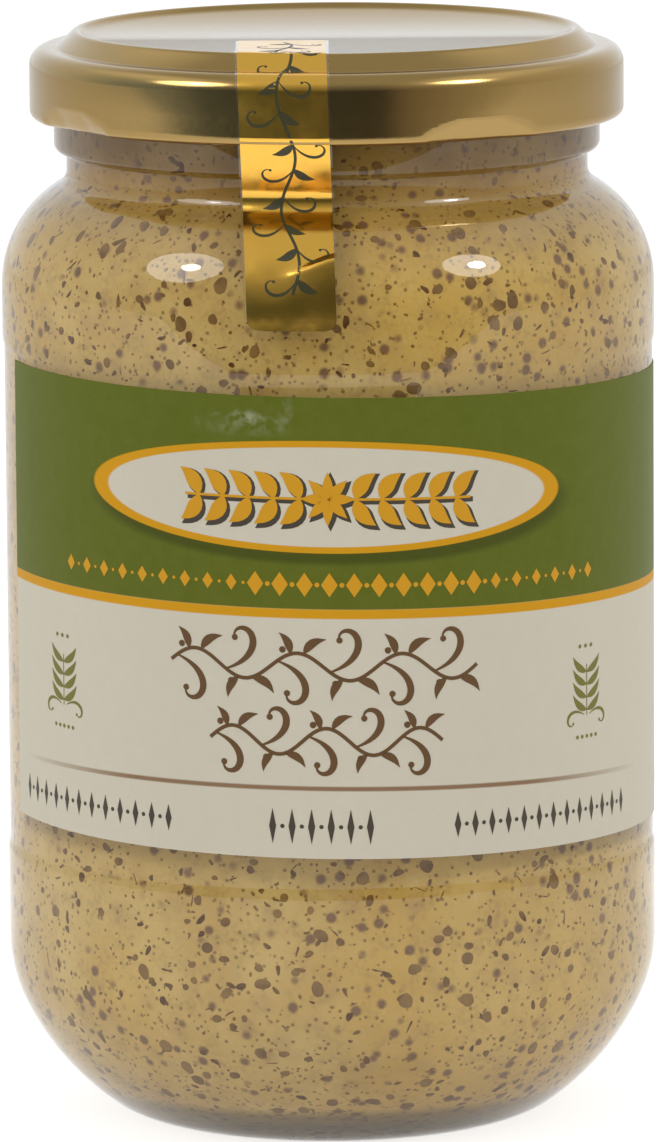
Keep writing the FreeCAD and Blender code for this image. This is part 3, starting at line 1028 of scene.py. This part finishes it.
strip_path = [(flat_r, plate_z)] + [point for point in lid_top() if point[0] > flat_r]
strip_path += [(lid_r, lid_z + 3.0), skirt_end]
strip_path += arc(*dip_centre, dip_r, dip_leave, dip_meet + 180, 20)
strip_path += arc(body_r - shoulder_r, shoulder_z, shoulder_r, dip_meet, 0, 24)[1:]
strip_path += [(body_r, strip_end_z)]
strip_marks = [flat_r - strip_start]
for start, end in zip(strip_path, strip_path[1:]):
    strip_marks.append(strip_marks[-1] + math.dist(start, end))
strip_long = strip_marks[-1]


def strip_point(across, along, lift):
    """A point on the strip's way: across from its middle, along from its start, and up off it."""
    past = along - strip_long + fold_up - fold_lean * (strip_wide / 2 - across)
    if past > 0:
        swell = max(0.0, 1 - past / fold_tail) ** 2
    else:
        swell = math.exp(-(past / fold_width) ** 2)
    lift += fold_height * swell * min(1.0, max(0.0, (across + 1.0) / 6.0))
    if along < strip_marks[0]:
        x = across + strip_x - (plate_z - strip_end_z) * strip_lean
        share = along / strip_marks[0]
        y = strip_start + (math.sqrt(flat_r ** 2 - x ** 2) - strip_start) * share
        return Vector((x, -y, plate_z + lift)) * MM
    index = 1
    while index < len(strip_marks) - 1 and strip_marks[index] < along:
        index += 1
    start, end = strip_path[index - 1], strip_path[index]
    size = strip_marks[index] - strip_marks[index - 1]
    share = (along - strip_marks[index - 1]) / size
    r = start[0] + (end[0] - start[0]) * share - (end[1] - start[1]) / size * lift
    z = start[1] + (end[1] - start[1]) * share + (end[0] - start[0]) / size * lift
    x = across + strip_x - (z - strip_end_z) * strip_lean
    return Vector((x, -math.sqrt(r * r - x * x), z)) * MM


def strip_sheet(wide, end, lift, thick, corner):
    """A thin sheet on the strip's way, with rounded corners at its lower end."""
    bm = bmesh.new()
    bmesh.ops.create_grid(bm, x_segments=cells_across, y_segments=cells_along, size=1.0)
    for vert in bm.verts:
        along = (1 - vert.co.y) / 2 * end
        short = max(0.0, corner - (end - along))
        half = wide / 2 - corner + math.sqrt(max(0.0, corner ** 2 - short ** 2))
        vert.co = strip_point(vert.co.x * half, along, lift + thick)
    bmesh.ops.recalc_face_normals(bm, faces=bm.faces)
    outward = sum((face.normal.y for face in bm.faces), 0.0)
    if outward > 0:
        bmesh.ops.reverse_faces(bm, faces=bm.faces)
    bmesh.ops.solidify(bm, geom=bm.faces[:], thickness=thick * MM)
    bmesh.ops.recalc_face_normals(bm, faces=bm.faces)
    crisp_rims(bm)
    return bm


def foil_material():
    """Thin gold foil, a little wavy under its film."""
    material, nodes, links = new_material("gold_foil")
    place = nodes.new("ShaderNodeTexCoord").outputs["Object"]
    body = nodes.new("ShaderNodeBsdfPrincipled")
    output = nodes.new("ShaderNodeOutputMaterial")
    grain = grain_node(nodes, links, place, 1500.0, 0.6)
    tone = tinted(nodes, links, spread(nodes, links, grain, 0.3, 0.7, 0.0, 0.2), foil_gold, foil_dull)
    links.new(tone, body.inputs["Base Color"])
    body.inputs["Metallic"].default_value = 1.0
    links.new(spread(nodes, links, grain, 0.3, 0.7, 0.13, 0.22), body.inputs["Roughness"])
    waves = nodes.new("ShaderNodeTexNoise")
    waves.inputs["Scale"].default_value = 190.0
    waves.inputs["Detail"].default_value = 2.0
    links.new(place, waves.inputs["Vector"])
    bump = nodes.new("ShaderNodeBump")
    bump.inputs["Strength"].default_value = 0.25
    bump.inputs["Distance"].default_value = 0.0004
    links.new(waves.outputs["Fac"], bump.inputs["Height"])
    links.new(bump.outputs[0], body.inputs["Normal"])
    links.new(body.outputs[0], output.inputs["Surface"])
    return material


film_sheet = strip_sheet(strip_wide, strip_long, film_lift, film_thick, strip_corner)
film_clear = clear_material("seal_film", film_tint, 0.03, film_index)
settled("seal_film", film_sheet, film_clear, "gold_film", "seal_strip")
foil_sheet = strip_sheet(strip_wide - 2 * foil_margin, strip_long - foil_short, foil_lift, foil_thick,
                         foil_corner)
settled("seal_foil", foil_sheet, foil_material(), "gold_film")

# A vine printed down the strip.
vine = bmesh.new()
turns, stem_steps = 7, 120
stem = []
for step in range(stem_steps + 1):
    share = step / stem_steps
    stem.append((0.2 + 0.9 * math.sin(share * turns * math.pi), 2.6 + share * (strip_long - 7.6)))
stroke(vine, stem, [0.34] * len(stem))
for index in range(turns * 2):
    x, y = stem[min(stem_steps, round((index + 0.5) / turns / 2 * stem_steps))]
    side = 1 if index % 2 else -1
    leaf(vine, x, y, 2.7, 1.0, 90 - side * 58, 0.14 * side)
    curl(vine, x, y, 3.3, 90 + side * 30, side, 0.3)
for step in range(1, math.floor(strip_long * 2)):
    bmesh.ops.bisect_plane(vine, geom=vine.verts[:] + vine.edges[:] + vine.faces[:], dist=1e-5,
                           plane_co=(0, step / 2, 0), plane_no=(0, 1, 0))
for vert in vine.verts:
    vert.co = strip_point(vert.co.x, vert.co.y, vine_lift)
bmesh.ops.recalc_face_normals(vine, faces=vine.faces)
for face in vine.faces:
    face.normal_update()
    if face.normal.y > 0.02 or (abs(face.normal.y) <= 0.02 and face.normal.z < 0):
        face.normal_flip()
settled("strip_print", vine, ink_material("strip_print", vine_ink, 0.4, 0.5), "gold_film")


# ------------------------------------------------------------ Floor and light
# A pale table top and a studio with a soft box and a lamp on each side. The
# room is dim in front, bright behind, and softly lit from above.

floor_half = (3.0, 1.75)
floor_back = 1.3
floor_glow = 0.62
# Painted reflection: the floor's glow in reflections far from the jar, as a share of its glow near
# it.
far_mirror = 0.64
soft_level = (0.44, 0.44, 0.44, 1.0)

bm = bmesh.new()
bmesh.ops.create_grid(bm, x_segments=2, y_segments=2, size=1.0)
bmesh.ops.transform(bm, verts=bm.verts, matrix=Matrix.Diagonal((*floor_half, 1.0, 1.0)))
bmesh.ops.translate(bm, verts=bm.verts, vec=(0, floor_back, 0))
floor_mesh = bpy.data.meshes.new("floor")
bm.to_mesh(floor_mesh)
bm.free()
floor = bpy.data.objects.new("floor", floor_mesh)
bpy.context.scene.collection.objects.link(floor)
material, nodes, links = new_material("pale_floor")
path = nodes.new("ShaderNodeLightPath")
paint = nodes.new("ShaderNodeBsdfDiffuse")
paint.inputs["Color"].default_value = (0.86, 0.86, 0.86, 1)
glow = nodes.new("ShaderNodeEmission")
glow.inputs["Color"].default_value = (1, 1, 1, 1)
spot = nodes.new("ShaderNodeVectorMath")
spot.operation = "LENGTH"
links.new(nodes.new("ShaderNodeTexCoord").outputs["Object"], spot.inputs[0])
# Painted reflection: seen in reflections, the floor glows brighter near the jar than far off.
near_reflection_glow = spread(nodes, links, spot.outputs["Value"], 0.26, 0.14, far_mirror, 1.0)
mirrored = calc(nodes, links, "MULTIPLY", path.outputs["Is Glossy Ray"], near_reflection_glow)
direct, through = path.outputs["Is Camera Ray"], path.outputs["Is Transmission Ray"]
seen = calc(nodes, links, "MAXIMUM", direct, through)
seen = calc(nodes, links, "MAXIMUM", seen, mirrored)
links.new(calc(nodes, links, "MULTIPLY", seen, floor_glow), glow.inputs["Strength"])
both = nodes.new("ShaderNodeAddShader")
output = nodes.new("ShaderNodeOutputMaterial")
links.new(paint.outputs[0], both.inputs[0])
links.new(glow.outputs[0], both.inputs[1])
links.new(both.outputs[0], output.inputs["Surface"])
floor_mesh.materials.append(material)

world = bpy.data.worlds.new("studio")
bpy.context.scene.world = world
world.use_nodes = True
nodes, links = world.node_tree.nodes, world.node_tree.links
nodes.clear()
way = nodes.new("ShaderNodeTexCoord").outputs["Generated"]
parts = nodes.new("ShaderNodeSeparateXYZ")
links.new(way, parts.inputs[0])
path = nodes.new("ShaderNodeLightPath")
front = calc(nodes, links, "MULTIPLY", parts.outputs["Y"], -1.0)
around = calc(nodes, links, "ARCTAN2", parts.outputs["X"], front)
around = spread(nodes, links, around, -math.pi, math.pi)
ramp = nodes.new("ShaderNodeValToRGB")
# The room's light by the way it is looked at, in degrees from the front to the right.
room = [
    (-180, 1.04, 1.1, 1.17), (-118, 0.84, 0.9, 0.96), (-88, 0.42, 0.53, 0.68),
    (-64, 0.3, 0.37, 0.45), (-48, 0.13, 0.17, 0.2), (-24, 0.085, 0.1, 0.105),
    (22, 0.085, 0.09, 0.09), (30, 0.3, 0.27, 0.23), (52, 0.5, 0.47, 0.41),
    (84, 0.76, 0.74, 0.68), (120, 0.85, 0.85, 0.84), (180, 1.04, 1.1, 1.17),
]
while len(ramp.color_ramp.elements) < len(room):
    ramp.color_ramp.elements.new(0.5)
for stop, (azimuth, *tint) in zip(ramp.color_ramp.elements, room):
    stop.position = (azimuth + 180) / 360
    stop.color = (*tint, 1)
links.new(around, ramp.inputs["Fac"])
overhead = spread(nodes, links, parts.outputs["Z"], 0.5, 0.85)
aside = spread(nodes, links, calc(nodes, links, "ABSOLUTE", parts.outputs["X"]), 0.4, 0.6)
above = tinted(nodes, links, aside, (0.5, 0.51, 0.49, 1.0), (1.5, 1.52, 1.5, 1.0))
light = tinted(nodes, links, overhead, ramp.outputs["Color"], above)
light = tinted(nodes, links, spread(nodes, links, parts.outputs["Z"], 0.12, 0.45, 0.0, 0.24), light,
               (1.0, 1.0, 1.0, 1.0))
light = tinted(nodes, links, path.outputs["Is Diffuse Ray"], light, soft_level)
shine = nodes.new("ShaderNodeBackground")
links.new(light, shine.inputs["Color"])
white = nodes.new("ShaderNodeBackground")
white.inputs["Color"].default_value = (1, 1, 1, 1)
pick = nodes.new("ShaderNodeMixShader")
output = nodes.new("ShaderNodeOutputWorld")
links.new(path.outputs["Is Camera Ray"], pick.inputs[0])
links.new(shine.outputs[0], pick.inputs[1])
links.new(white.outputs[0], pick.inputs[2])
links.new(pick.outputs[0], output.inputs["Surface"])


def soft_box(name, azimuth, elevation, distance, size, radiance):
    """A round soft lamp that faces the jar's shoulder."""
    lamp = bpy.data.lights.new(name, "AREA")
    lamp.shape = "DISK"
    lamp.size = size
    lamp.energy = radiance * size * size * math.pi
    holder = bpy.data.objects.new(name, lamp)
    bpy.context.scene.collection.objects.link(holder)
    turn, rise = math.radians(azimuth), math.radians(elevation)
    level = math.cos(rise)
    away = Vector((math.sin(turn) * level, -math.cos(turn) * level, math.sin(rise)))
    holder.location = Vector((0, 0, 0.08)) + away * distance
    holder.rotation_euler = away.to_track_quat("Z", "Y").to_euler()


soft_box("left_box", -60, 37, 1.2, 0.56, 3.4)
soft_box("left_lamp", -57, 38, 1.15, 0.13, 14.0)
soft_box("right_box", 60, 37, 1.2, 0.42, 4.0)
soft_box("right_lamp", 62, 37, 1.15, 0.12, 30.0)


# ------------------------------------------------------------------- Camera
# A long lens straight in front of the jar, a little above it and turned down,
# with the jar filling the frame.

camera_data = bpy.data.cameras.new("camera")
camera_data.lens = 306.8
camera_data.sensor_width = 36.0
camera_data.clip_start = 0.05
camera = bpy.data.objects.new("camera", camera_data)
bpy.context.scene.collection.objects.link(camera)
camera.matrix_world = (
    Matrix.Translation((0, -1.099, 0.2377))
    @ Matrix.Rotation(math.radians(80.91), 4, "X")
    @ Matrix.Rotation(math.radians(-0.41), 4, "Z")
)
bpy.context.scene.camera = camera
bpy.context.scene.view_settings.view_transform = "Standard"
